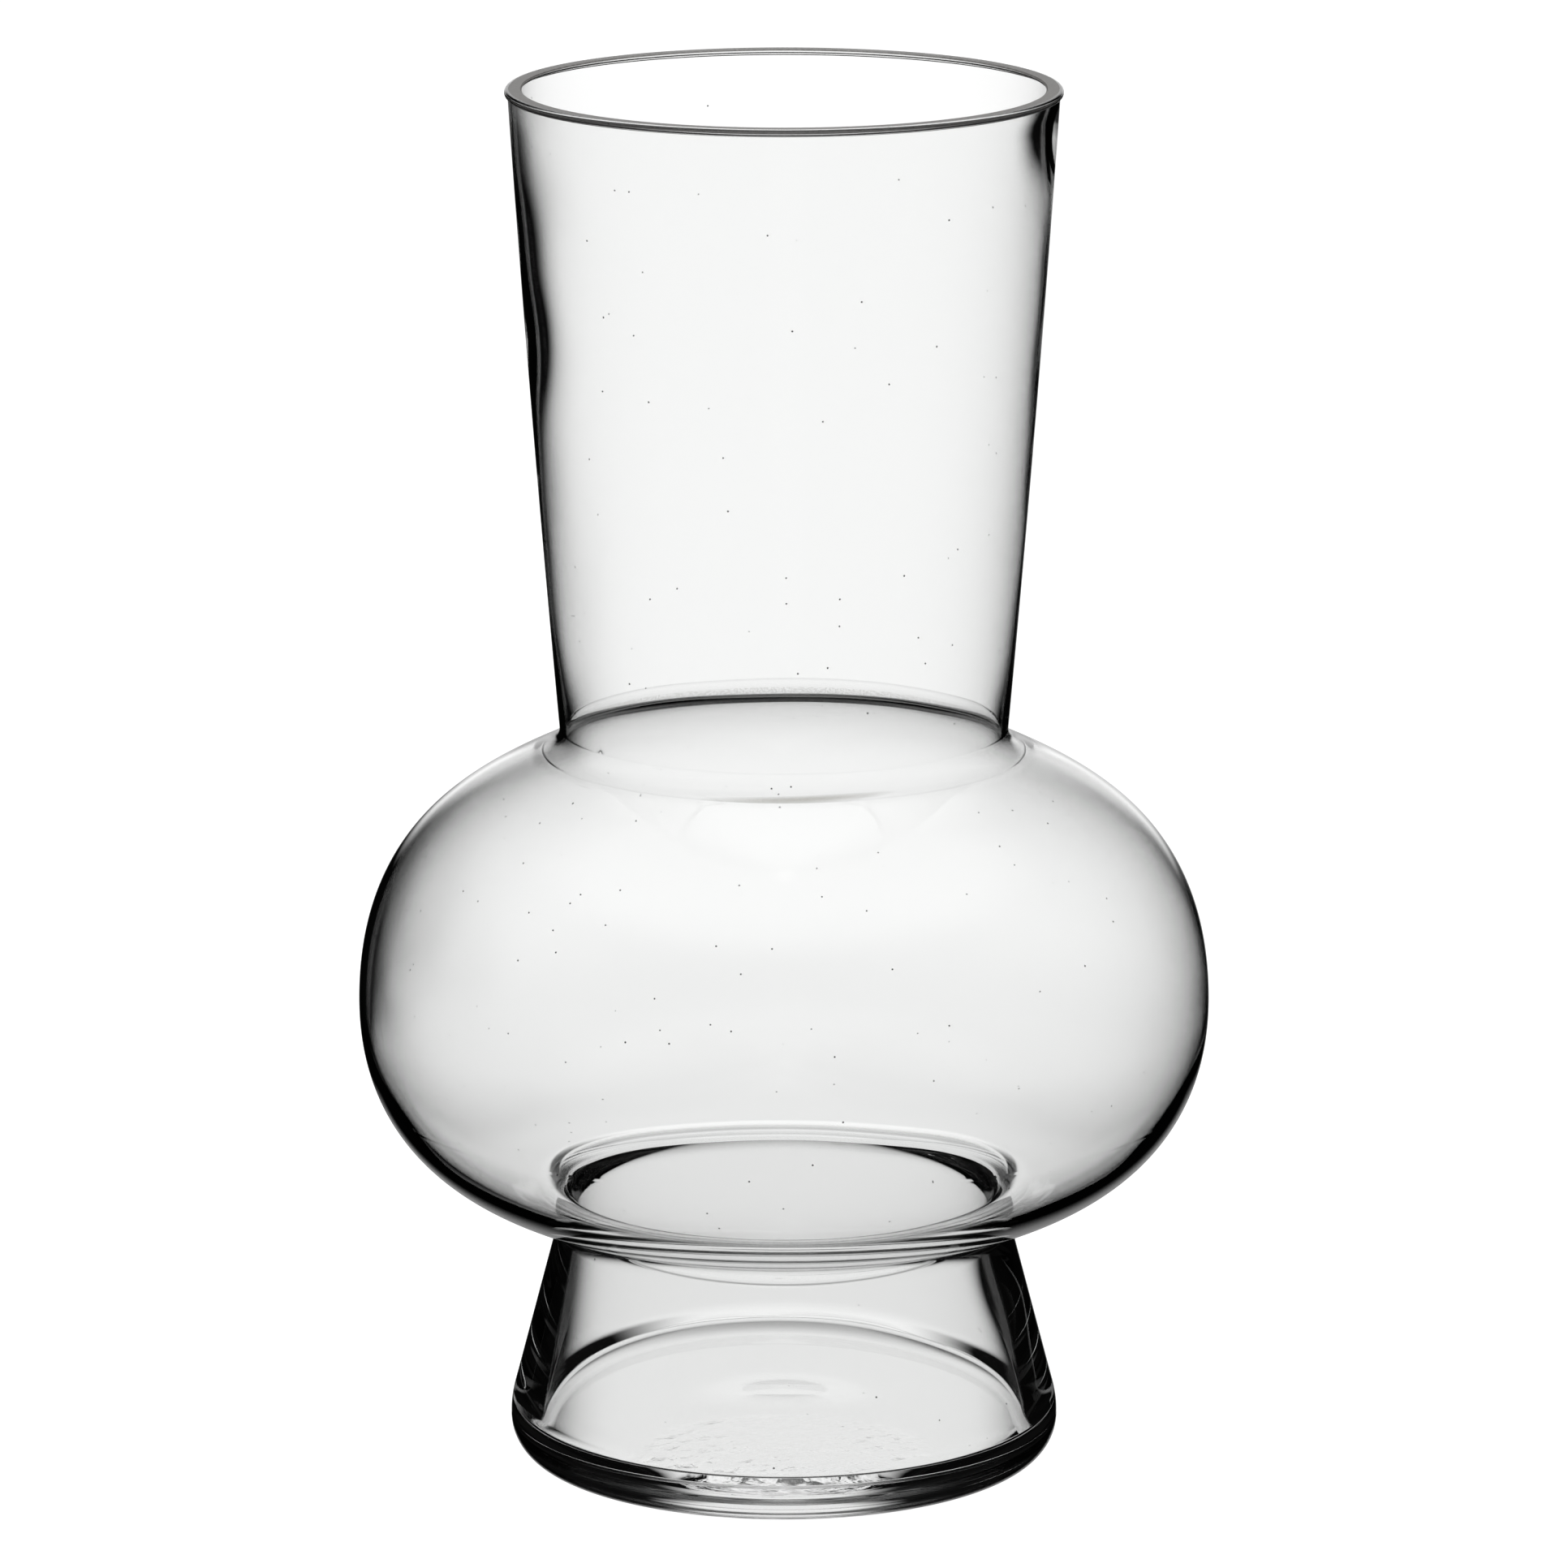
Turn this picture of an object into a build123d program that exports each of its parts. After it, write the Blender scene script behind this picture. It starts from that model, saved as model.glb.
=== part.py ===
"""Clear glass trumpet vase: neck, bulb, foot and base, hot-joined at three fused seams. Millimetres, +Z up."""

import math
import os

from build123d import *

# Heights of the pieces as they stand on one another, from the table up
heel_round = 9.0
base_seam_height = 0.8
foot_height = 42.6
waist_seam_height = 1.6
bulb_height = 102.0
neck_seam_height = 6.0
neck_height = 138.0

# Neck: a slightly bowed taper with a ground rim and a round lip outside it
rim_wall = 3.0
rim_flat_width = 2.8
rim_arris = 0.3
lip_height = 2.4
lip_swell = 0.7
neck_top_radius = 58.5
neck_bow = 0.4
neck_mid_wall = 1.3
neck_foot_radius = 48.2
neck_foot_wall = 1.2

# Bulb: an oblate blown shell, given at its shoulder, turn, widest ring, belly and waist
shoulder_step = 6.2
shoulder_angle = 24.5
shoulder_wall = 1.4
turn_inset = 15.4
turn_drop = 13.8
turn_normal = 47.0
turn_wall = 1.5
widest_radius = 91.7
widest_rise = 48.0
widest_wall = 1.5
belly_inset = 4.0
belly_rise = 27.7
belly_normal = -24.0
belly_wall = 1.9
waist_radius = 48.5
waist_angle = 12.7
waist_wall = 3.1
throat_wall = 3.2
throat_round = 2.0

# Foot: a thick cone that bends upright just above the heel
foot_radius = 59.4
foot_bend_rise = 8.2
foot_bend_inset = 1.5
foot_floor_wall = 6.9

# Base: a thick disc with a spigot inside the foot, a round heel and a shallow ground punt
spigot_height = 0.8
punt_radius = 27.0
punt_depth = 1.0

# Where the pieces meet
floor_z = heel_round + spigot_height
foot_bottom_z = heel_round + base_seam_height
foot_bend_z = foot_bottom_z + foot_bend_rise
foot_top_z = foot_bottom_z + foot_height
waist_z = foot_top_z + waist_seam_height
bulb_top_z = waist_z + bulb_height
neck_foot_z = bulb_top_z + neck_seam_height
rim_z = neck_foot_z + neck_height
lip_z = rim_z - lip_height
foot_bend_radius = foot_radius - foot_bend_inset
foot_slope = (foot_bend_radius - waist_radius) / (waist_z - foot_bend_z)
foot_top_radius = waist_radius + foot_slope * waist_seam_height
foot_top_bore = foot_top_radius - throat_wall
foot_floor_radius = foot_radius - foot_floor_wall
bore_slope = (foot_floor_radius - foot_top_bore) / (foot_top_z - floor_z)
foot_bottom_bore = foot_floor_radius + bore_slope * (floor_z - foot_bottom_z)
spigot_root_radius = foot_floor_radius + bore_slope * spigot_height
throat_radius = waist_radius - throat_wall
belly_radius = widest_radius - belly_inset
turn_radius = widest_radius - turn_inset
rim_bore_radius = neck_top_radius - rim_wall
neck_foot_bore = neck_foot_radius - neck_foot_wall
shoulder_radius = neck_foot_radius + shoulder_step
shoulder_bore = shoulder_radius - shoulder_wall / math.sin(math.radians(shoulder_angle))
crease_z = bulb_top_z + (shoulder_bore - neck_foot_bore) * math.tan(math.radians(shoulder_angle))


def leaning(degrees):
    """Direction in the section at an angle above the radius."""
    return (math.cos(math.radians(degrees)), math.sin(math.radians(degrees)))


def inside(radius, z, wall, normal):
    """The point one wall thickness in from the outside of the bulb."""
    out_r, out_z = leaning(normal)
    return (radius - wall * out_r, z - wall * out_z)


os.makedirs("parts", exist_ok=True)

# Neck: drawn tube with the ground flat on top and the fire-polished lip round its edge
with BuildPart() as neck:
    with BuildSketch(Plane.XZ):
        with BuildLine():
            mid_radius = (neck_foot_radius + neck_top_radius) / 2 + neck_bow
            mid_z = (neck_foot_z + lip_z) / 2
            flat_radius = rim_bore_radius + rim_flat_width
            ThreePointArc((neck_foot_radius, neck_foot_z), (mid_radius, mid_z), (neck_top_radius, lip_z))
            ThreePointArc(
                (neck_top_radius, lip_z),
                (neck_top_radius + lip_swell, (lip_z + rim_z) / 2),
                (flat_radius, rim_z),
            )
            Line((flat_radius, rim_z), (rim_bore_radius + rim_arris, rim_z))
            Line((rim_bore_radius + rim_arris, rim_z), (rim_bore_radius, rim_z - rim_arris))
            ThreePointArc(
                (rim_bore_radius, rim_z - rim_arris),
                (mid_radius - neck_mid_wall, mid_z),
                (neck_foot_bore, neck_foot_z),
            )
            Line((neck_foot_bore, neck_foot_z), (neck_foot_radius, neck_foot_z))
        make_face()
    revolve(axis=Axis.Z)
neck.part.label = "neck"
export_step(neck.part, "parts/neck.step")

# Neck seam: the fused bead that fills the corner between the neck and the shoulder
with BuildPart() as neck_seam:
    with BuildSketch(Plane.XZ):
        with BuildLine():
            Spline(
                (shoulder_radius, bulb_top_z),
                (neck_foot_radius, neck_foot_z),
                tangents=[leaning(180.0 - shoulder_angle), (0.0, 1.0)],
            )
            Line((neck_foot_radius, neck_foot_z), (neck_foot_bore, neck_foot_z))
            Line((neck_foot_bore, neck_foot_z), (neck_foot_bore, crease_z))
            Line((neck_foot_bore, crease_z), (shoulder_bore, bulb_top_z))
            Line((shoulder_bore, bulb_top_z), (shoulder_radius, bulb_top_z))
        make_face()
    revolve(axis=Axis.Z)
neck_seam.part.label = "neck_seam"
export_step(neck_seam.part, "parts/neck_seam.step")

# Bulb: blown shell, open at the shoulder and the waist, thickening down to the rounded throat
with BuildPart() as bulb:
    with BuildSketch(Plane.XZ):
        with BuildLine():
            widest_z = waist_z + widest_rise
            throat_z = waist_z + waist_wall
            Spline(
                (waist_radius, waist_z),
                (belly_radius, waist_z + belly_rise),
                (widest_radius, widest_z),
                tangents=[leaning(waist_angle), (0.0, 1.0)],
            )
            Spline(
                (widest_radius, widest_z),
                (turn_radius, bulb_top_z - turn_drop),
                (shoulder_radius, bulb_top_z),
                tangents=[(0.0, 1.0), leaning(180.0 - shoulder_angle)],
            )
            Line((shoulder_radius, bulb_top_z), (shoulder_bore, bulb_top_z))
            Spline(
                (shoulder_bore, bulb_top_z),
                inside(turn_radius, bulb_top_z - turn_drop, turn_wall, turn_normal),
                (widest_radius - widest_wall, widest_z),
                tangents=[leaning(-shoulder_angle), (0.0, -1.0)],
            )
            Spline(
                (widest_radius - widest_wall, widest_z),
                inside(belly_radius, waist_z + belly_rise, belly_wall, belly_normal),
                (throat_radius + throat_round, throat_z),
                tangents=[(0.0, -1.0), leaning(180.0 + waist_angle)],
            )
            Spline(
                (throat_radius + throat_round, throat_z),
                (throat_radius, throat_z - throat_round),
                tangents=[leaning(180.0 + waist_angle), (0.0, -1.0)],
            )
            Line((throat_radius, throat_z - throat_round), (throat_radius, waist_z))
            Line((throat_radius, waist_z), (waist_radius, waist_z))
        make_face()
    revolve(axis=Axis.Z)
bulb.part.label = "bulb"
export_step(bulb.part, "parts/bulb.step")

# Waist seam: the flat ring of glass that joins the bulb to the top of the foot
with BuildPart() as waist_seam:
    with BuildSketch(Plane.XZ):
        with BuildLine():
            Polyline(
                (foot_top_bore, foot_top_z),
                (foot_top_radius, foot_top_z),
                (waist_radius, waist_z),
                (throat_radius, waist_z),
                close=True,
            )
        make_face()
    revolve(axis=Axis.Z)
waist_seam.part.label = "waist_seam"
export_step(waist_seam.part, "parts/waist_seam.step")

# Foot: thick pressed cone with a straight bore, bent upright above the heel
with BuildPart() as foot:
    with BuildSketch(Plane.XZ):
        with BuildLine():
            Line((foot_top_radius, foot_top_z), (foot_bend_radius, foot_bend_z))
            Spline(
                (foot_bend_radius, foot_bend_z),
                (foot_radius, foot_bottom_z),
                tangents=[(foot_slope, -1.0), (0.0, -1.0)],
            )
            Line((foot_radius, foot_bottom_z), (foot_bottom_bore, foot_bottom_z))
            Line((foot_bottom_bore, foot_bottom_z), (foot_top_bore, foot_top_z))
            Line((foot_top_bore, foot_top_z), (foot_top_radius, foot_top_z))
        make_face()
    revolve(axis=Axis.Z)
foot.part.label = "foot"
export_step(foot.part, "parts/foot.step")

# Base seam: the thin fused ring between the foot and the ledge of the base
with BuildPart() as base_seam:
    with BuildSketch(Plane.XZ):
        with BuildLine():
            Polyline(
                (spigot_root_radius, heel_round),
                (foot_radius, heel_round),
                (foot_radius, foot_bottom_z),
                (foot_bottom_bore, foot_bottom_z),
                close=True,
            )
        make_face()
    revolve(axis=Axis.Z)
base_seam.part.label = "base_seam"
export_step(base_seam.part, "parts/base_seam.step")

# Base: thick disc whose spigot fills the foot's bore and whose underside rests on a flat ring
with BuildPart() as base:
    with BuildSketch(Plane.XZ):
        with BuildLine():
            round_middle = heel_round * (1.0 - math.sqrt(0.5))
            ThreePointArc((0.0, punt_depth), (punt_radius / 2, punt_depth * 0.75), (punt_radius, 0.0))
            Line((punt_radius, 0.0), (foot_radius - heel_round, 0.0))
            ThreePointArc(
                (foot_radius - heel_round, 0.0),
                (foot_radius - round_middle, round_middle),
                (foot_radius, heel_round),
            )
            Line((foot_radius, heel_round), (spigot_root_radius, heel_round))
            Line((spigot_root_radius, heel_round), (foot_floor_radius, floor_z))
            Line((foot_floor_radius, floor_z), (0.0, floor_z))
            Line((0.0, floor_z), (0.0, punt_depth))
        make_face()
    revolve(axis=Axis.Z)
base.part.label = "base"
export_step(base.part, "parts/base.step")
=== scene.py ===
import math

import bpy
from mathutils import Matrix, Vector


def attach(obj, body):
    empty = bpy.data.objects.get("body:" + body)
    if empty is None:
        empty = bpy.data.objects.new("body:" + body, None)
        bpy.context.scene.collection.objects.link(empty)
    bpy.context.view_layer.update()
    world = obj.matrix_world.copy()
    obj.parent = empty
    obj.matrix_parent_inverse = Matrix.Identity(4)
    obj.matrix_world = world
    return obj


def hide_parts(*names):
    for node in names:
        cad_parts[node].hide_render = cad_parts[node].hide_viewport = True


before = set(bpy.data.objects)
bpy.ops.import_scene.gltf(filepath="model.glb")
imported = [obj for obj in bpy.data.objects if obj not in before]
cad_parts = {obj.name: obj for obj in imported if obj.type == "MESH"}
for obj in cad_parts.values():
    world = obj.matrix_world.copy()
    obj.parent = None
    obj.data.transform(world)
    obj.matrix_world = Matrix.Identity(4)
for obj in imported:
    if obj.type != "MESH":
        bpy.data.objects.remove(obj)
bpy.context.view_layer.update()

# Base: a thick pressed disc of clear glass that stands on a flat ring inside its round heel. Its
# spigot closes the bore of the foot, and the underside has a shallow punt and a crinkled patch
# where the hot glass touched the cold mould. Lengths in the sections are millimetres.
heel_round = 9.0
foot_radius = 59.4
floor_radius = 52.2
spigot_root = 52.3
floor_height = 9.8
punt_radius = 27.0
punt_depth = 0.5
segments = 288  # faces round the axis
hair = 0.02  # distance of the row of points that keeps each edge crisp
sharp_edge = 32.0  # edges that bend more than this, in degrees, stay sharp
milli = 0.001

# What all the glass skins share: tint, refraction, and the tint of the shadow it throws
clear_tint = (0.985, 0.988, 0.985, 1.0)
seed_tint = (0.02, 0.02, 0.02, 1.0)
shade_tint = (0.93, 0.93, 0.93, 1.0)
white = (1.0, 1.0, 1.0, 1.0)
soda_lime_ior = 1.52


class Wire:
    """One socket of a node tree. Sums and products of wires add Math nodes to that tree."""

    def __init__(self, tree, socket=None):
        self.tree = tree
        self.socket = socket

    def add(self, kind, settings=None, sockets=None, out=0):
        """Adds a node from its type, its settings, and the values or wires of its sockets."""
        node = self.tree.nodes.new(kind)
        for name, value in (settings or {}).items():
            setattr(node, name, value)
        for name, value in (sockets or {}).items():
            if isinstance(value, Wire):
                self.tree.links.new(value.socket, node.inputs[name])
            else:
                node.inputs[name].default_value = value
        return None if out is None else Wire(self.tree, node.outputs[out])

    def outlet(self, name):
        """Another outlet of the same node."""
        return Wire(self.tree, self.socket.node.outputs[name])

    def sum_of(self, operation, first, second=0.0):
        """One Math node of this tree."""
        return self.add("ShaderNodeMath", {"operation": operation}, {0: first, 1: second})

    def __add__(self, other):
        return self.sum_of("ADD", self, other)

    def __sub__(self, other):
        return self.sum_of("SUBTRACT", self, other)

    def __rsub__(self, other):
        return self.sum_of("SUBTRACT", other, self)

    def __mul__(self, other):
        return self.sum_of("MULTIPLY", self, other)

    def __truediv__(self, other):
        return self.sum_of("DIVIDE", self, other)

    def __mod__(self, other):
        return self.sum_of("MODULO", self, other)

    def floor(self):
        return self.sum_of("FLOOR", self)

    def cosine(self):
        return self.sum_of("COSINE", self)

    def sine(self):
        return self.sum_of("SINE", self)

    def at_least(self, floor):
        return self.sum_of("MAXIMUM", self, floor)

    def within(self, low, high):
        """1 from low to high and 0 outside."""
        return self.sum_of("GREATER_THAN", self, low) * self.sum_of("LESS_THAN", self, high)


def blank_material(name):
    """A new material without nodes, and a wire to add some by."""
    material = bpy.data.materials.new(name)
    material.use_nodes = True
    material.node_tree.nodes.clear()
    return material, Wire(material.node_tree)


def mixed(net, share, first, second):
    """A colour between two."""
    return net.add("ShaderNodeMix", {"data_type": "RGBA"}, {0: share, 6: first, 7: second}, out=2)


def end_glass(net, tint, roughness, normal=None):
    """Ends a clear material. Light on its way from the lamp passes without being bent."""
    sockets = {
        "Base Color": tint,
        "Roughness": roughness,
        "IOR": soda_lime_ior,
        "Transmission Weight": 1.0,
    }
    if normal is not None:
        sockets["Normal"] = normal
    glass = net.add("ShaderNodeBsdfPrincipled", None, sockets)
    through = net.add("ShaderNodeBsdfTransparent", None, {"Color": shade_tint})
    to_lamp = net.add("ShaderNodeLightPath", out="Is Shadow Ray")
    surface = net.add("ShaderNodeMixShader", None, {0: to_lamp, 1: glass, 2: through})
    net.add("ShaderNodeOutputMaterial", None, {"Surface": surface}, out=None)


def clear_glass():
    """Soda-lime glass with faint drawn waves and seeds, the tiny dark specks of hand work."""
    material, net = blank_material("polished_glass")
    place = net.add("ShaderNodeTexCoord", out="Object")
    drawn_out = net.add("ShaderNodeMapping", None, {"Vector": place, "Scale": (60.0, 60.0, 9.0)})
    waves = net.add("ShaderNodeTexNoise", None, {"Vector": drawn_out, "Scale": 1.0, "Detail": 1.0})
    ripple = net.add("ShaderNodeBump", None, {"Strength": 1.0, "Distance": 0.000003, "Height": waves})
    nearest_seed = net.add("ShaderNodeTexVoronoi", None, {"Vector": place, "Scale": 140.0})
    seed = net.sum_of("LESS_THAN", nearest_seed, 0.03)
    end_glass(net, mixed(net, seed, clear_tint, seed_tint), 0.0, ripple)
    return material


def fused_face():
    """Where two pieces were melted into one, light goes straight on."""
    material, net = blank_material("fused_face")
    through = net.add("ShaderNodeBsdfTransparent", None, {"Color": white})
    net.add("ShaderNodeOutputMaterial", None, {"Surface": through}, out=None)
    return material


def ground_glass():
    """Glass ground on a wheel: satin with fine pits. Its dark grey colour is painted shade, varied at
    random by the grit.
    """
    material, net = blank_material("ground_glass")
    place = net.add("ShaderNodeTexCoord", out="Object")
    grit = net.add("ShaderNodeTexNoise", None, {"Vector": place, "Scale": 1400.0, "Detail": 3.0})
    pits = net.add("ShaderNodeBump", None, {"Strength": 0.5, "Distance": 0.0001, "Height": grit})
    # Painted shade: frosted glass is pale, and these greys darken it the way it looks between dark
    # sides
    painted_shade_dark_grey = (0.03, 0.029, 0.028, 1.0)
    painted_shade_light_grey = (0.30, 0.29, 0.28, 1.0)
    glass = net.add(
        "ShaderNodeBsdfPrincipled",
        None,
        {
            "Base Color": mixed(net, grit, painted_shade_dark_grey, painted_shade_light_grey),
            "Roughness": grit * 0.2 + 0.4,
            "IOR": soda_lime_ior,
            "Transmission Weight": 0.4,
            "Normal": pits,
        },
    )
    net.add("ShaderNodeOutputMaterial", None, {"Surface": glass}, out=None)
    return material


def chilled_glass():
    """The underside of the base, crinkled in an oval patch towards the front."""
    material, net = blank_material("chilled_glass")
    patch_wide = 0.030
    patch_deep = 0.023
    patch_forward = 0.028
    place = net.add("ShaderNodeTexCoord", out="Object")
    across = net.add("ShaderNodeSeparateXYZ", None, {0: place}, out="X")
    x = across / patch_wide
    y = (across.outlet("Y") + patch_forward) / patch_deep
    patch = net.add(
        "ShaderNodeMapRange",
        {"interpolation_type": "SMOOTHSTEP"},
        {0: x * x + y * y, 1: 1.2, 2: 0.7, 3: 0.0, 4: 1.0},
    )
    cells = net.add("ShaderNodeTexVoronoi", None, {"Vector": place, "Scale": 260.0})
    fine = net.add("ShaderNodeTexNoise", None, {"Vector": place, "Scale": 700.0, "Detail": 2.0})
    crinkle = (cells + fine * 0.35) * patch
    marks = net.add("ShaderNodeBump", None, {"Strength": 1.0, "Distance": 0.00011, "Height": crinkle})
    end_glass(net, clear_tint, fine * patch * 0.06, marks)
    return material


def seam_glass():
    """The bore of the neck seam: a grainy line of bubbles behind, and a soft grey patch of painted
    shade in front.
    """
    material, net = blank_material("grainy_painted_shade_glass")
    painted_shade_aside = 0.003
    painted_shade_wide = 0.021
    painted_shade_height = 0.1565
    painted_shade_tall = 0.0008
    painted_shade_tilt = 0.02
    painted_shade_and_bubble_tint = (0.30, 0.29, 0.26, 1.0)
    place = net.add("ShaderNodeTexCoord", out="Object")
    x = net.add("ShaderNodeSeparateXYZ", None, {0: place}, out="X")
    y = x.outlet("Y")
    z = x.outlet("Z")
    aside = (x - painted_shade_aside) / painted_shade_wide
    above = (z - painted_shade_height - x * painted_shade_tilt) / painted_shade_tall
    in_front = x.sum_of("LESS_THAN", y, 0.0)
    behind = x.sum_of("GREATER_THAN", y, 0.0)
    # Painted shade: a soft grey patch on the front of the bore only, where the seam looks dark; the
    # bubbles behind share its grey
    painted_shade_patch = (1.0 - aside * aside - above * above).at_least(0.0) * in_front
    grit = net.add("ShaderNodeTexNoise", None, {"Vector": place, "Scale": 2600.0, "Detail": 2.0})
    bubbles = x.sum_of("GREATER_THAN", grit, 0.5) * z.within(0.1566, 0.1600) * behind
    end_glass(net, mixed(net, painted_shade_patch + bubbles * 0.3, clear_tint, painted_shade_and_bubble_tint), 0.0)
    return material


def along(first, last, step=1.5):
    """Evenly spaced points on a straight run of the section, with a hair's breadth row at each end."""
    length = math.dist(first, last)
    edge = min(hair / length, 0.2)
    count = max(1, round(length / step))
    shares = [0.0, edge] + [k / count for k in range(1, count)] + [1.0 - edge, 1.0]
    run = (last[0] - first[0], last[1] - first[1])
    return [(first[0] + run[0] * s, first[1] + run[1] * s) for s in shares]


def round_through(first, middle, last, step=0.8):
    """Points on the circle through three points of the section."""
    (ax, ay), (bx, by), (cx, cy) = first, middle, last
    twice = 2.0 * (ax * (by - cy) + bx * (cy - ay) + cx * (ay - by))
    a2, b2, c2 = ax * ax + ay * ay, bx * bx + by * by, cx * cx + cy * cy
    ox = (a2 * (by - cy) + b2 * (cy - ay) + c2 * (ay - by)) / twice
    oy = (a2 * (cx - bx) + b2 * (ax - cx) + c2 * (bx - ax)) / twice
    radius = math.dist((ox, oy), first)
    start = math.atan2(ay - oy, ax - ox)
    turns = [math.atan2(y - oy, x - ox) - start for x, y in (middle, last)]
    turns = [(t + math.pi) % (2.0 * math.pi) - math.pi for t in turns]
    sweep = turns[1]
    if turns[0] * sweep < 0.0:
        sweep -= math.copysign(2.0 * math.pi, sweep)
    count = max(4, round(abs(sweep) * radius / step))
    edge = min(hair / (abs(sweep) * radius), 0.2)
    shares = [0.0, edge] + [k / count for k in range(1, count)] + [1.0 - edge, 1.0]
    return [
        (ox + radius * math.cos(start + sweep * s), oy + radius * math.sin(start + sweep * s))
        for s in shares
    ]


def smooth_through(points, leaving, arriving, step=0.8):
    """Points on the smooth curve through two or three section points, with given end directions."""
    spans = [math.dist(a, b) for a, b in zip(points, points[1:])]
    chords = [((b[0] - a[0]) / s, (b[1] - a[1]) / s) for a, b, s in zip(points, points[1:], spans)]
    whole = sum(spans)

    def stretched(direction, guide):
        ratio = (abs(guide[0]) + abs(guide[1])) / (abs(direction[0]) + abs(direction[1]))
        return (direction[0] * ratio, direction[1] * ratio)

    if len(points) == 2:
        slopes = [stretched(leaving, chords[0]), stretched(arriving, chords[0])]
    else:
        bend = [(chords[1][i] - chords[0][i]) / whole for i in (0, 1)]
        first = stretched(leaving, [chords[0][i] - spans[0] * bend[i] for i in (0, 1)])
        last = stretched(arriving, [chords[1][i] + spans[1] * bend[i] for i in (0, 1)])
        middle = []
        for i in (0, 1):
            pull = 3.0 * (spans[0] * chords[1][i] + spans[1] * chords[0][i])
            middle.append((pull - spans[1] * first[i] - spans[0] * last[i]) / (2.0 * whole))
        slopes = [first, middle, last]
    drawn = []
    for k, span in enumerate(spans):
        count = max(6, round(span / step))
        edge = min(hair / span, 0.1)
        shares = [0.0, edge] + [j / count for j in range(1, count)] + [1.0 - edge]
        for s in shares:
            weights = (
                2 * s**3 - 3 * s**2 + 1,
                (s**3 - 2 * s**2 + s) * span,
                3 * s**2 - 2 * s**3,
                (s**3 - s**2) * span,
            )
            ends = (points[k], slopes[k], points[k + 1], slopes[k + 1])
            drawn.append(tuple(sum(w * e[i] for w, e in zip(weights, ends)) for i in (0, 1)))
    drawn.append(tuple(points[-1]))
    return drawn


def stored(net, name):
    """A number that each point or face of the mesh carries under a name."""
    return net.add("GeometryNodeInputNamedAttribute", {"data_type": "FLOAT"}, {"Name": name})


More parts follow.
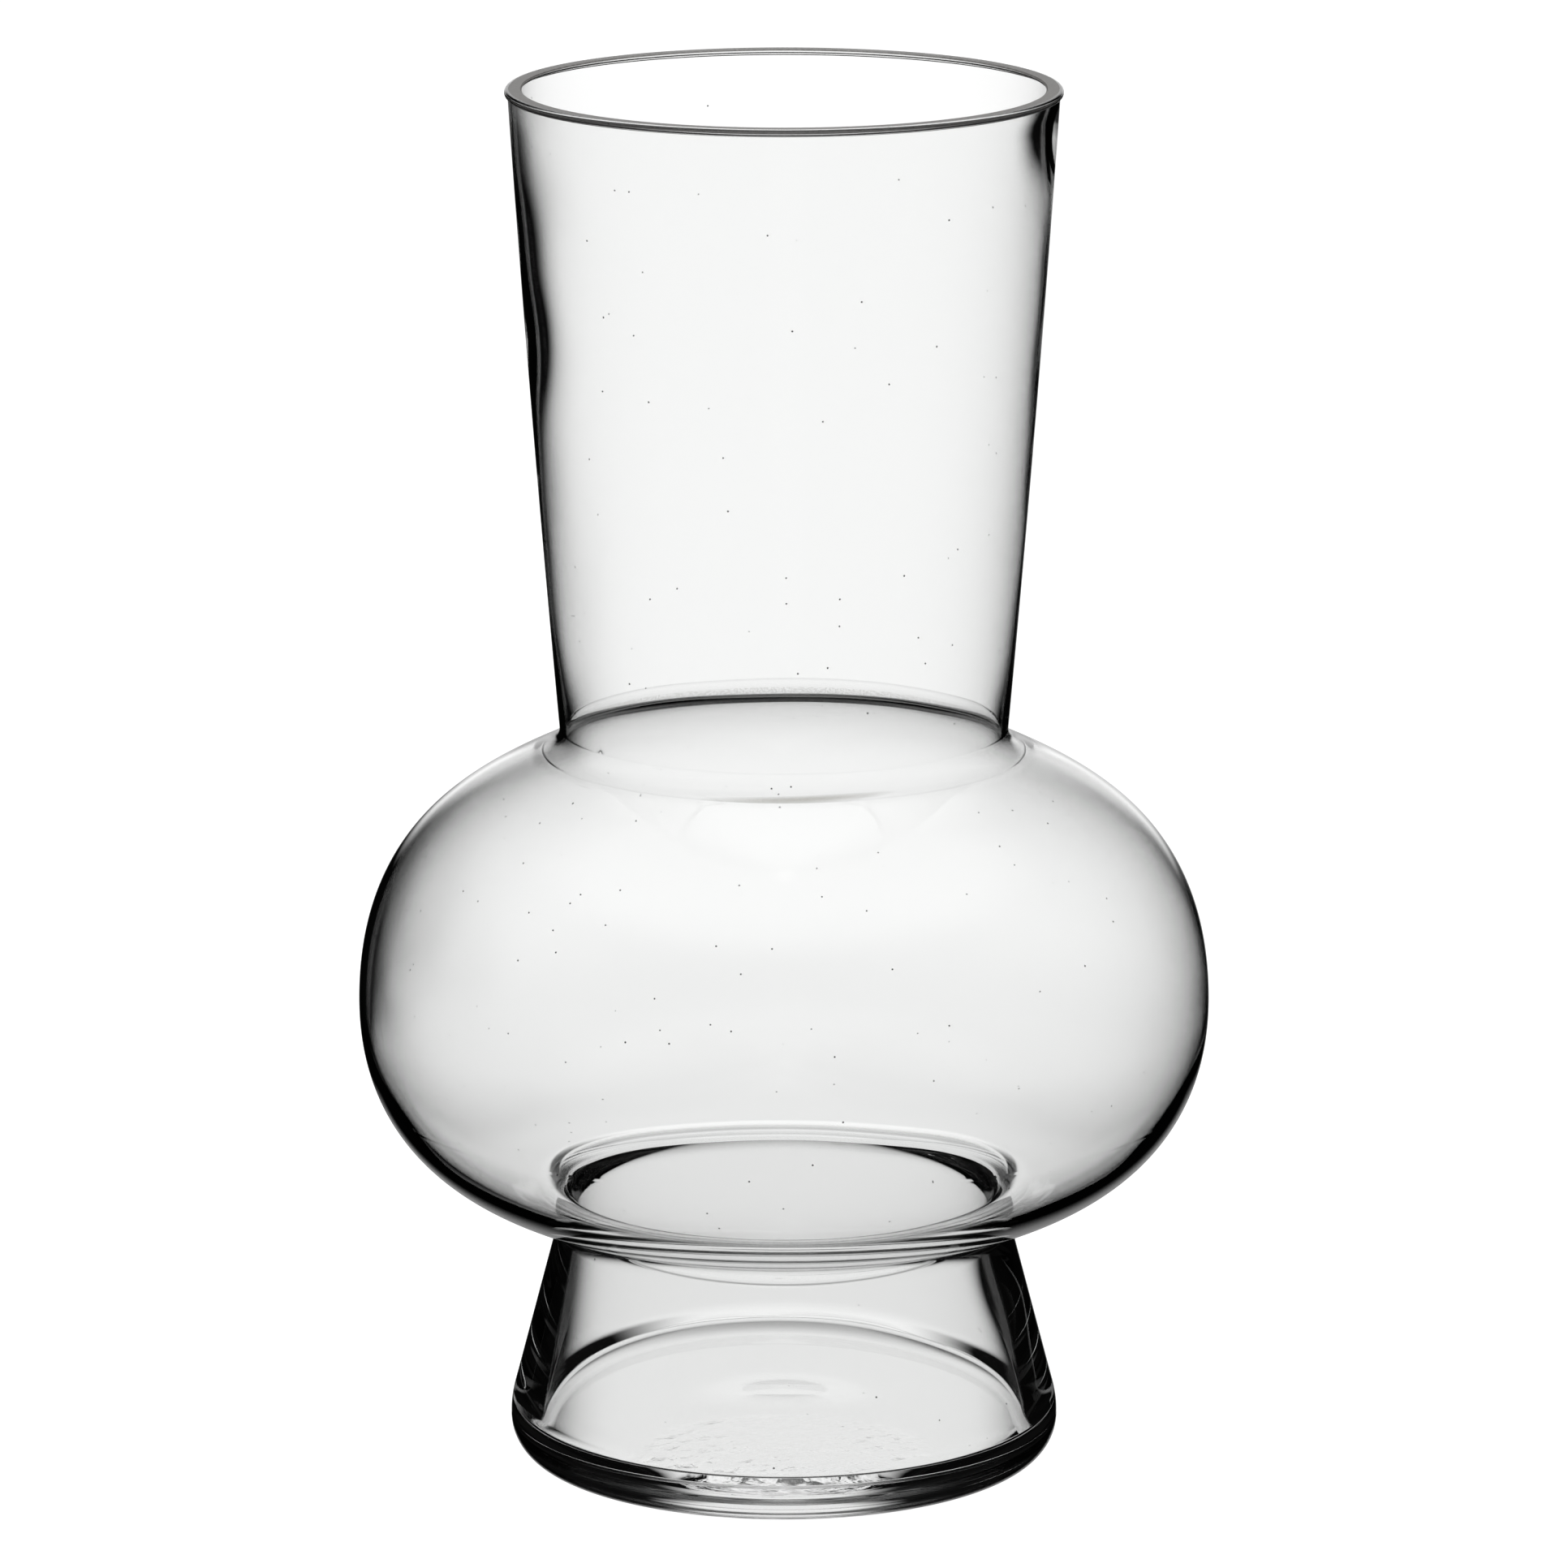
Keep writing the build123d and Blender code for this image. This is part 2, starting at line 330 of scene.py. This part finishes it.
def turned_tree():
    """Geometry Nodes that turn a section round the axis and give each run its finish."""
    tree = bpy.data.node_groups.new("turned_glass", "GeometryNodeTree")
    for name, kind in (
        ("Section", "NodeSocketGeometry"),
        ("Segments", "NodeSocketInt"),
        ("Cavity Shift", "NodeSocketFloat"),
        ("Cavity Middle", "NodeSocketFloat"),
        ("Cavity Reach", "NodeSocketFloat"),
        ("Wave Height", "NodeSocketFloat"),
        ("Wave Scale", "NodeSocketFloat"),
        ("Polished", "NodeSocketMaterial"),
        ("Fused", "NodeSocketMaterial"),
        ("Ground", "NodeSocketMaterial"),
        ("Chilled", "NodeSocketMaterial"),
        ("Grainy", "NodeSocketMaterial"),
    ):
        tree.interface.new_socket(name, in_out="INPUT", socket_type=kind)
    tree.interface.new_socket("Turned", in_out="OUTPUT", socket_type="NodeSocketGeometry")
    net = Wire(tree)
    given = net.add("NodeGroupInput")
    section = given.outlet("Section")
    around = given.outlet("Segments")
    count = net.add("GeometryNodeAttributeDomainSize", None, {"Geometry": section}, out="Point Count")
    sheet = net.add("GeometryNodeMeshGrid", None, {"Vertices X": count, "Vertices Y": around + 1.0})
    index = net.add("GeometryNodeInputIndex")
    place = net.add("GeometryNodeInputPosition")
    row = (index / (around + 1.0)).floor()
    angle = index % (around + 1.0) / around * (2.0 * math.pi)
    point = net.add(
        "GeometryNodeSampleIndex",
        {"data_type": "FLOAT_VECTOR", "domain": "POINT"},
        {"Geometry": section, "Value": place, "Index": row},
    )
    cavity = net.add(
        "GeometryNodeSampleIndex",
        {"data_type": "FLOAT", "domain": "POINT"},
        {
            "Geometry": section,
            "Value": stored(net, "cavity"),
            "Index": row,
        },
    )
    finish = net.add(
        "GeometryNodeSampleIndex",
        {"data_type": "FLOAT", "domain": "POINT"},
        {
            "Geometry": section,
            "Value": stored(net, "finish"),
            "Index": (index / around).floor(),
        },
    )
    split = net.add("ShaderNodeSeparateXYZ", None, {0: point}, out="X")
    height = split.outlet("Z")
    turned = net.add(
        "ShaderNodeCombineXYZ",
        None,
        {"X": split * angle.cosine(), "Y": split * angle.sine(), "Z": height},
    )
    wave = net.add(
        "ShaderNodeTexNoise",
        None,
        {"Vector": turned, "Scale": given.outlet("Wave Scale"), "Detail": 1.0, "Roughness": 0.4},
    )
    radius = split + cavity * (wave - 0.5) * given.outlet("Wave Height")
    off_middle = (height - given.outlet("Cavity Middle")) / given.outlet("Cavity Reach")
    swing = (1.0 - off_middle * off_middle).at_least(0.0) * given.outlet("Cavity Shift")
    placed = net.add(
        "ShaderNodeCombineXYZ",
        None,
        {
            "X": radius * angle.cosine() + cavity * swing,
            "Y": radius * angle.sine(),
            "Z": height,
        },
    )
    shape = net.add(
        "GeometryNodeStoreNamedAttribute",
        {"data_type": "FLOAT", "domain": "FACE"},
        {"Geometry": sheet, "Name": "finish", "Value": finish},
    )
    shape = net.add(
        "GeometryNodeStoreNamedAttribute",
        {"data_type": "FLOAT", "domain": "POINT"},
        {"Geometry": shape, "Name": "cavity", "Value": cavity},
    )
    shape = net.add("GeometryNodeSetPosition", None, {"Geometry": shape, "Position": placed})
    shape = net.add("GeometryNodeMergeByDistance", None, {"Geometry": shape, "Distance": 0.000002})
    shape = net.add("GeometryNodeFlipFaces", None, {"Mesh": shape})
    shape = net.add("GeometryNodeSetShadeSmooth", None, {"Geometry": shape})
    shape = net.add("GeometryNodeRealizeInstances", None, {"Geometry": shape})
    kept = stored(net, "finish")
    all_over = given.outlet("Polished")
    shape = net.add("GeometryNodeSetMaterial", None, {"Geometry": shape, "Material": all_over})
    for number, name in ((1, "Fused"), (2, "Ground"), (3, "Chilled"), (4, "Grainy")):
        here = kept.within(number - 0.5, number + 0.5)
        shape = net.add(
            "GeometryNodeSetMaterial",
            None,
            {"Geometry": shape, "Selection": here, "Material": given.outlet(name)},
        )
    net.add("NodeGroupOutput", None, {"Turned": shape}, out=None)
    return tree


def lump_tree():
    """Geometry Nodes that thicken the wall inward in one soft lump, as uneven blowing leaves it."""
    tree = bpy.data.node_groups.new("wall_lump", "GeometryNodeTree")
    tree.interface.new_socket("Wall", in_out="INPUT", socket_type="NodeSocketGeometry")
    for name in ("Bearing", "Rise", "Spread", "Reach", "Depth"):
        tree.interface.new_socket(name, in_out="INPUT", socket_type="NodeSocketFloat")
    tree.interface.new_socket("Lumpy", in_out="OUTPUT", socket_type="NodeSocketGeometry")
    net = Wire(tree)
    given = net.add("NodeGroupInput")
    place = net.add("GeometryNodeInputPosition")
    x = net.add("ShaderNodeSeparateXYZ", None, {0: place}, out="X")
    y = x.outlet("Y")
    z = x.outlet("Z")
    turned = x.sum_of("ARCTAN2", y, x) - given.outlet("Bearing")
    apart = x.sum_of("ARCTAN2", turned.sine(), turned.cosine()) / given.outlet("Spread")
    above = (z - given.outlet("Rise")) / given.outlet("Reach")
    swell = x.sum_of("EXPONENT", 0.0 - apart * apart - above * above)
    push = 0.0 - swell * stored(net, "cavity") * given.outlet("Depth")
    level = net.add("ShaderNodeCombineXYZ", None, {"X": x, "Y": y})
    radial = net.add("ShaderNodeVectorMath", {"operation": "NORMALIZE"}, {0: level})
    offset = net.add("ShaderNodeVectorMath", {"operation": "SCALE"}, {0: radial, "Scale": push})
    wall = given.outlet("Wall")
    shape = net.add("GeometryNodeSetPosition", None, {"Geometry": wall, "Offset": offset})
    net.add("NodeGroupOutput", None, {"Lumpy": shape}, out=None)
    return tree


def set_inputs(modifier, values):
    """Sets the named inputs of a Geometry Nodes modifier."""
    for item in modifier.node_group.interface.items_tree:
        if item.in_out == "INPUT" and item.name in values:
            modifier[item.identifier] = values[item.name]


# The finishes and the two sides that a run of a section can have
polished, fused, ground, chilled, grainy = 0.0, 1.0, 2.0, 3.0, 4.0
outside, inside = 0.0, 1.0
cavity_middle = 102.0  # height at which a shifted cavity is furthest off the axis
cavity_reach = 54.0  # distance above and below it at which the cavity is true again
glass_skin = clear_glass()
joint_skin = fused_face()
satin_skin = ground_glass()
crinkled_skin = chilled_glass()
bubbled_and_shaded_skin = seam_glass()
lathe = turned_tree()
lump = lump_tree()


def turn(name, runs, cavity_shift=0.0, wave_height=0.5, wave_scale=25.0, lumps=()):
    """Turns a section, given as runs of points with a finish and a side, into one closed piece.

    A lump is a bearing and a height, how far it spreads in degrees and millimetres, and its depth.
    """
    points, finishes, sides = [], [], []
    for run, finish, side in runs:
        for point in run[:-1]:
            points.append((point[0] * milli, 0.0, point[1] * milli))
            finishes.append(finish)
            sides.append(side(point[1]) if callable(side) else side)
    last = runs[-1][0][-1]
    points.append((last[0] * milli, 0.0, last[1] * milli))
    finishes.append(finishes[-1])
    sides.append(sides[0])
    wire = bpy.data.meshes.new(name)
    wire.from_pydata(points, [(k, k + 1) for k in range(len(points) - 1)], [])
    for title, values in (("finish", finishes), ("cavity", sides)):
        wire.attributes.new(title, "FLOAT", "POINT").data.foreach_set("value", values)
    piece = bpy.data.objects.new(name, wire)
    bpy.context.scene.collection.objects.link(piece)
    maker = piece.modifiers.new("turned", "NODES")
    maker.node_group = lathe
    values = {
        "Segments": segments,
        "Cavity Shift": cavity_shift * milli,
        "Cavity Middle": cavity_middle * milli,
        "Cavity Reach": cavity_reach * milli,
        "Wave Height": wave_height * milli,
        "Wave Scale": wave_scale,
        "Polished": glass_skin,
        "Fused": joint_skin,
        "Ground": satin_skin,
        "Chilled": crinkled_skin,
        "Grainy": bubbled_and_shaded_skin,
    }
    set_inputs(maker, values)
    for bearing, rise, spread, reach, depth in lumps:
        swelling = piece.modifiers.new("lump", "NODES")
        swelling.node_group = lump
        values = {
            "Bearing": math.radians(bearing),
            "Rise": rise * milli,
            "Spread": math.radians(spread),
            "Reach": reach * milli,
            "Depth": depth * milli,
        }
        set_inputs(swelling, values)
    graph = bpy.context.evaluated_depsgraph_get()
    mesh = bpy.data.meshes.new_from_object(piece.evaluated_get(graph))
    piece.modifiers.clear()
    piece.data = mesh
    for title in ("finish", "cavity"):
        mesh.attributes.remove(mesh.attributes[title])
    mesh.name = name
    mesh.materials.pop(index=0)
    mesh.set_sharp_from_angle(angle=math.radians(sharp_edge))
    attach(piece, "root")
    return piece


upward, downward = (0.0, 1.0), (0.0, -1.0)
outward, inward = (1.0, 0.0), (-1.0, 0.0)
round_middle = heel_round * (1.0 - math.sqrt(0.5))
ring_edge = foot_radius - heel_round
punt = smooth_through([(0.0, punt_depth), (punt_radius, 0.0)], outward, outward)
base = turn(
    "glass_base",
    [
        (punt, chilled, outside),
        (along((punt_radius, 0.0), (ring_edge, 0.0)), chilled, outside),
        (
            round_through(
                (ring_edge, 0.0),
                (foot_radius - round_middle, round_middle),
                (foot_radius, heel_round),
                0.5,
            ),
            polished,
            outside,
        ),
        (along((foot_radius, heel_round), (spigot_root, heel_round)), fused, outside),
        (along((spigot_root, heel_round), (floor_radius, floor_height)), fused, outside),
        (along((floor_radius, floor_height), (0.0, floor_height)), polished, outside),
    ],
)
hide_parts("base")

# Base seam: the thin ring where the rim of the foot was melted onto the ledge of the base.
# It is the same clear glass, and a shallow groove round the outside marks the joint.
seam_height = 0.8
groove_depth = 0.2
seam_top = heel_round + seam_height
foot_bottom_bore = floor_radius
base_seam = turn(
    "glass_base_seam",
    [
        (along((spigot_root, heel_round), (foot_radius, heel_round)), fused, outside),
        (
            round_through(
                (foot_radius, heel_round),
                (foot_radius - groove_depth, heel_round + seam_height / 2),
                (foot_radius, seam_top),
                0.1,
            ),
            polished,
            outside,
        ),
        (along((foot_radius, seam_top), (foot_bottom_bore, seam_top)), fused, outside),
        (along((foot_bottom_bore, seam_top), (spigot_root, heel_round), 0.4), fused, outside),
    ],
)
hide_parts("base_seam")

# Foot: a thick pressed cone of clear glass, bent upright just above the heel. Its straight bore
# rounds over into the throat at the top and into the floor at the bottom. It was made in a mould
# and joined hot to the base below and to the waist above.
bend_inset = 1.5
bend_rise = 8.2
bend_radius = foot_radius - bend_inset
bend_height = seam_top + bend_rise
foot_top = 52.4
waist_height = 54.0
waist_radius = 48.5
foot_slope = (bend_radius - waist_radius) / (waist_height - bend_height)
foot_top_radius = waist_radius + foot_slope * (waist_height - foot_top)
waist_lean = 12.7
top_wall = 3.3
toe_wall = 6.3
toe_rise = 0.9
toe_height = floor_height + toe_rise
toe_bore = foot_radius - toe_wall
bore_lean = (toe_bore - foot_top_radius + top_wall) / (foot_top - toe_height)
straight_top = 49.0
straight_radius = toe_bore - bore_lean * (straight_top - toe_height)
throat_width = 5.5
throat_rise = 5.2
throat_start = (waist_radius + throat_width, waist_height + throat_rise)


def heading(degrees):
    """A direction in the section, as an angle above the radius."""
    return (math.cos(math.radians(degrees)), math.sin(math.radians(degrees)))


def slice_of(curve, high, low):
    """The stretch of a falling curve between two heights."""

    def at(height):
        for (r0, z0), (r1, z1) in zip(curve, curve[1:]):
            if z0 >= height >= z1 and z0 > z1:
                return (r0 + (r1 - r0) * (z0 - height) / (z0 - z1), height)
        return (curve[0][0], height)

    return [at(high)] + [p for p in curve if low < p[1] < high] + [at(low)]


down_bore = (bore_lean, -1.0)
throat_curve = smooth_through(
    [throat_start, (straight_radius, straight_top)], heading(180.0 + waist_lean), down_bore, 0.4
)
foot_throat = slice_of(throat_curve, foot_top, straight_top)
foot_top_bore = foot_throat[0][0]
heavy_side = ((0.0, 46.0, 55.0, 14.0, 0.8),)
foot_bend = smooth_through(
    [(foot_radius, seam_top), (bend_radius, bend_height)], upward, (-foot_slope, 1.0)
)
toe = smooth_through([(toe_bore, toe_height), (floor_radius, floor_height)], down_bore, inward, 0.3)
foot = turn(
    "glass_foot",
    [
        (along((foot_bottom_bore, seam_top), (foot_radius, seam_top)), fused, outside),
        (foot_bend, polished, outside),
        (along((bend_radius, bend_height), (foot_top_radius, foot_top)), polished, outside),
        (along((foot_top_radius, foot_top), (foot_top_bore, foot_top)), fused, outside),
        (foot_throat, polished, inside),
        (along((straight_radius, straight_top), (toe_bore, toe_height)), polished, inside),
        (toe, polished, outside),
    ],
    wave_height=0.06,
    lumps=heavy_side,
)
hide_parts("foot")

# Waist seam: the flat ring of clear glass that was melted between the top of the foot and the
# bulb. Outside it runs into the sharp crease of the waist, and inside it is part of the throat.
seam_throat = slice_of(throat_curve, waist_height, foot_top)
throat_radius = seam_throat[0][0]
waist_seam = turn(
    "glass_waist_seam",
    [
        (along((foot_top_bore, foot_top), (foot_top_radius, foot_top)), fused, inside),
        (along((foot_top_radius, foot_top), (waist_radius, waist_height), 0.4), polished, outside),
        (along((waist_radius, waist_height), (throat_radius, waist_height)), fused, outside),
        (seam_throat, polished, inside),
    ],
    lumps=heavy_side,
)
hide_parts("waist_seam")

# Bulb: an oblate shell of blown clear glass, thin at the shoulder and thick at the throat, where
# it was joined hot to the foot. Blowing left its cavity a little off the axis and its wall wavy.
shoulder_radius = 54.4
shoulder_lean = 24.5
bulb_top = 156.0
widest_radius = 91.7
widest_height = 102.0
belly_inset = 4.0
belly_rise = 27.7
belly_facing = -24.0
turn_inset = 15.4
turn_drop = 13.8
turn_facing = 47.0
shoulder_wall = 1.1
turn_wall = 1.1
widest_wall = 1.1
belly_wall = 1.7
belly_radius = widest_radius - belly_inset
belly_height = waist_height + belly_rise
turn_radius = widest_radius - turn_inset
turn_height = bulb_top - turn_drop
shoulder_bore = shoulder_radius - shoulder_wall / math.sin(math.radians(shoulder_lean))
heavy_corner = ((0.0, 163.0, 30.0, 12.0, 0.22), (180.0, 163.0, 30.0, 12.0, 0.22))


def one_wall_in(radius, height, wall, facing):
    """The point one wall thickness in from the outside."""
    out = heading(facing)
    return (radius - wall * out[0], height - wall * out[1])


widest_bore = (widest_radius - widest_wall, widest_height)
lower_outside = smooth_through(
    [(waist_radius, waist_height), (belly_radius, belly_height), (widest_radius, widest_height)],
    heading(waist_lean),
    upward,
    1.0,
)
upper_outside = smooth_through(
    [(widest_radius, widest_height), (turn_radius, turn_height), (shoulder_radius, bulb_top)],
    upward,
    heading(180.0 - shoulder_lean),
    1.0,
)
upper_inside = smooth_through(
    [
        (shoulder_bore, bulb_top),
        one_wall_in(turn_radius, turn_height, turn_wall, turn_facing),
        widest_bore,
    ],
    heading(-shoulder_lean),
    downward,
    1.0,
)
lower_inside = smooth_through(
    [widest_bore, one_wall_in(belly_radius, belly_height, belly_wall, belly_facing), throat_start],
    downward,
    heading(180.0 + waist_lean),
    1.0,
)
bulb = turn(
    "glass_bulb",
    [
        (along((throat_radius, waist_height), (waist_radius, waist_height)), fused, inside),
        (lower_outside, polished, outside),
        (upper_outside, polished, outside),
        (along((shoulder_radius, bulb_top), (shoulder_bore, bulb_top)), fused, outside),
        (upper_inside, polished, inside),
        (lower_inside, polished, inside),
        (slice_of(throat_curve, throat_start[1], waist_height), polished, inside),
    ],
    cavity_shift=0.15,
    wave_height=0.2,
    lumps=heavy_side + heavy_corner,
)
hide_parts("bulb")

# Neck seam: the bead of melted clear glass in the corner between the neck and the shoulder. It
# joins the two all round, with fine bubbles in the bore where the hot edges met.
neck_foot = 162.0
neck_foot_radius = 48.2
neck_foot_wall = 0.75
neck_foot_bore = neck_foot_radius - neck_foot_wall
bend = smooth_through(
    [(shoulder_radius, bulb_top), (neck_foot_radius, neck_foot)],
    heading(180.0 - shoulder_lean),
    upward,
    0.4,
)
last_step = len(bend) - 1
inner_bend = []
for k, (radius, height) in enumerate(bend):
    before = bend[max(k - 1, 0)]
    after = bend[min(k + 1, last_step)]
    wall = shoulder_wall + (neck_foot_radius - neck_foot_bore - shoulder_wall) * k / last_step
    share = wall / math.dist(before, after)
    across = share * (after[1] - before[1])
    upon = share * (after[0] - before[0])
    inner_bend.append((radius - across, height + upon))
inner_bend = slice_of(inner_bend[::-1], neck_foot, bulb_top)
neck_seam = turn(
    "glass_neck_seam",
    [
        (along((shoulder_bore, bulb_top), (shoulder_radius, bulb_top)), fused, inside),
        (bend, polished, outside),
        (along((neck_foot_radius, neck_foot), (neck_foot_bore, neck_foot)), fused, outside),
        (inner_bend[:-1] + [(shoulder_bore, bulb_top)], grainy, inside),
    ],
    lumps=heavy_corner,
)
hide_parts("neck_seam")

# Neck: a drawn tube of clear glass, melted on at the shoulder, that opens slightly to the mouth.
# The mouth was cut and ground flat on a wheel, and its outer edge was melted to a round lip.
rim_height = 300.0
rim_wall = 3.0
flat_width = 2.8
arris = 0.3
lip_drop = 1.6
lip_swell = 0.7
lip_wall = 1.0
middle_wall = 0.62
neck_bow = 0.4
calm_depth = 4.0
neck_top_radius = 58.5
lip_height = rim_height - lip_drop
rim_bore = neck_top_radius - rim_wall
flat_radius = rim_bore + flat_width
bead_bore = neck_top_radius - lip_wall
middle_radius = (neck_foot_radius + neck_top_radius) / 2 + neck_bow
middle_height = (neck_foot + lip_height) / 2
uneven_bore = (
    (181.0, 268.0, 18.0, 12.0, 0.2),
    (181.0, 247.0, 18.0, 12.0, 0.5),
    (-1.0, 290.0, 22.0, 12.0, 0.5),
)


def below_rim(height):
    """How freely the bore wavers: not at all in the bead of the rim, fully a little below it."""
    return min(1.0, max(0.0, (lip_height - height) / calm_depth))


neck = turn(
    "glass_neck",
    [
        (along((neck_foot_bore, neck_foot), (neck_foot_radius, neck_foot)), fused, inside),
        (
            round_through(
                (neck_foot_radius, neck_foot),
                (middle_radius, middle_height),
                (neck_top_radius, lip_height),
                1.5,
            ),
            polished,
            outside,
        ),
        (
            round_through(
                (neck_top_radius, lip_height),
                (neck_top_radius + lip_swell, (lip_height + rim_height) / 2),
                (flat_radius, rim_height),
                0.25,
            ),
            polished,
            outside,
        ),
        (along((flat_radius, rim_height), (rim_bore + arris, rim_height), 0.5), ground, outside),
        (along((rim_bore + arris, rim_height), (rim_bore, rim_height - arris), 0.2), ground, outside),
        (
            smooth_through(
                [(rim_bore, rim_height - arris), (bead_bore, lip_height)], downward, (-0.06, -1.0), 0.2
            ),
            polished,
            outside,
        ),
        (
            round_through(
                (bead_bore, lip_height),
                (middle_radius - middle_wall, middle_height),
                (neck_foot_bore, neck_foot),
                1.5,
            ),
            polished,
            below_rim,
        ),
    ],
    wave_height=0.25,
    lumps=uneven_bore + heavy_corner,
)
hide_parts("neck")

# Floor: a plain white sweep that keeps a soft shadow of the vase. It is a flat sheet of paper,
# half a millimetre below the heel, and the glass doesn't show it.
floor_mesh = bpy.data.meshes.new("floor")
floor_reach = 12.0
floor_level = -0.0005
corners = ((-1.0, -1.0), (1.0, -1.0), (1.0, 1.0), (-1.0, 1.0))
floor_mesh.from_pydata(
    [(x * floor_reach, y * floor_reach, floor_level) for x, y in corners],
    [],
    [(0, 1, 2, 3)],
)
floor = bpy.data.objects.new("floor", floor_mesh)
bpy.context.scene.collection.objects.link(floor)
sweep, net = blank_material("white_sweep")
seen = net.add("ShaderNodeLightPath", out="Is Camera Ray")
dull_grey = (0.25, 0.25, 0.25, 1.0)
pale_grey = (0.8, 0.8, 0.8, 1.0)
matt = net.add("ShaderNodeBsdfDiffuse", None, {"Color": dull_grey})
lit = net.add("ShaderNodeEmission", None, {"Color": white, "Strength": 0.86})
paper = net.add("ShaderNodeAddShader", None, {0: matt, 1: lit})
plain = net.add("ShaderNodeBsdfDiffuse", None, {"Color": pale_grey})
surface = net.add("ShaderNodeMixShader", None, {0: seen, 1: plain, 2: paper})
net.add("ShaderNodeOutputMaterial", None, {"Surface": surface}, out=None)
floor_mesh.materials.append(sweep)
floor.visible_transmission = False
floor.visible_glossy = False

# Light: one large soft lamp overhead for the shadow, and a studio that only the glass shows. A
# white strip stands behind the vase between dark sides, narrower ones stand behind it as other
# views see it, and a white field lies below. Angles are in degrees.
lamp_data = bpy.data.lights.new("overhead", "AREA")
lamp_data.shape = "DISK"
lamp_data.size = 1.6
lamp_data.energy = 40.0
lamp = bpy.data.objects.new("overhead", lamp_data)
lamp.location = (0.0, 0.0, 2.2)
lamp.visible_transmission = False
lamp.visible_glossy = False
bpy.context.scene.collection.objects.link(lamp)

world = bpy.data.worlds.new("studio")
world.use_nodes = True
world.node_tree.nodes.clear()
bpy.context.scene.world = world
net = Wire(world.node_tree)
ray = net.add("ShaderNodeTexCoord", out="Generated")
east = net.add("ShaderNodeSeparateXYZ", None, {0: ray}, out="X")
north = east.outlet("Y")
degrees = 180.0 / math.pi
rise = east.sum_of("ARCSINE", east.outlet("Z")) * degrees
bearing = east.sum_of("ARCTAN2", east, north) * degrees


def ramp(value, start, end, low, high):
    """A soft step from low to high between two values."""
    return net.add(
        "ShaderNodeMapRange",
        {"interpolation_type": "SMOOTHSTEP"},
        {0: value, 1: start, 2: end, 3: low, 4: high},
    )


def stepped(level, *steps):
    """A value that changes with elevation, by a soft step for each start, end and gain."""
    value = rise * 0.0 + level
    for start, end, gain in steps:
        value = value + ramp(rise, start, end, 0.0, gain)
    return value


def strip(facing, half_width, edge, middle, reach, brightness):
    """A soft white strip at a bearing, that reaches so far below and above an elevation."""
    fade = 4.0
    aside = bearing.sum_of("ABSOLUTE", bearing - facing)
    beyond = rise.sum_of("ABSOLUTE", rise - middle)
    across = ramp((aside - half_width) / edge, -1.0, 1.0, brightness, 0.0)
    return across * ramp(beyond, reach - fade, reach + fade, 1.0, 0.0)


# How wide and how soft-edged the strip behind is on each side, and how bright, by elevation
half = stepped(
    6.6, (-15.0, -20.0, 8.0), (-9.0, -3.0, 9.0), (6.0, 12.0, -2.0), (25.0, 60.0, 17.0)
)
soft = stepped(3.5, (-9.0, 0.0, 2.0), (-15.0, -20.0, 2.5), (25.0, 60.0, 10.0))
glow = stepped(1.13, (-12.0, -20.0, -0.2), (-30.0, -60.0, -0.6), (-4.0, 6.0, -0.25))
overhead_glow = stepped(0.004, (40.0, 60.0, 0.4))
sweep_behind = (strip(1.2, half, soft, 0.0, 100.0, 1.0) * glow).at_least(overhead_glow)
others = stepped(0.0, (-60.0, -74.0, 0.95))
for facing, middle in ((-45.0, -25.0), (-90.0, -3.0), (135.0, -15.0)):
    others = others.at_least(strip(facing, 9.0, 4.0, middle, 16.0, 1.1))

# Light that was reflected on its way sees a dimmer strip below the horizon, and no other panel
paths = net.add("ShaderNodeLightPath", out="Is Camera Ray")
reflections = paths.outlet("Glossy Depth")
unreflected = paths.sum_of("LESS_THAN", reflections, 0.5)
once_at_most = paths.sum_of("LESS_THAN", reflections, 1.5)
after_one = 0.4
after_many = stepped(0.06, (-17.0, -12.0, 0.5), (-6.0, 1.0, 0.44))
dimmed = unreflected.at_least(once_at_most * after_one).at_least(after_many)
panels = (sweep_behind * dimmed).at_least(others * unreflected)
by_glass = paths.outlet("Is Transmission Ray").at_least(paths.outlet("Is Glossy Ray"))
room = 0.6
level = paths + (1.0 - paths) * (by_glass * panels + (1.0 - by_glass) * room)
sky = net.add("ShaderNodeBackground", None, {"Color": white, "Strength": level})
net.add("ShaderNodeOutputWorld", None, {"Surface": sky}, out=None)

# Camera: a long lens from two metres in front, looking a little down on the vase, and the plain
# view transform with enough bounces for light to find its way through the glass.
camera_data = bpy.data.cameras.new("camera")
camera_data.sensor_width = 36.0
camera_data.lens = 219.0
camera = bpy.data.objects.new("camera", camera_data)
camera.location = (0.0, -2.0, 0.6)
aim = Vector((0.0, 0.0, 0.14898)) - camera.location
camera.rotation_euler = aim.to_track_quat("-Z", "Y").to_euler()
bpy.context.scene.collection.objects.link(camera)
scene = bpy.context.scene
scene.camera = camera
scene.view_settings.view_transform = "Standard"
scene.cycles.max_bounces = 32
scene.cycles.transmission_bounces = 32
scene.cycles.glossy_bounces = 16
scene.cycles.transparent_max_bounces = 48
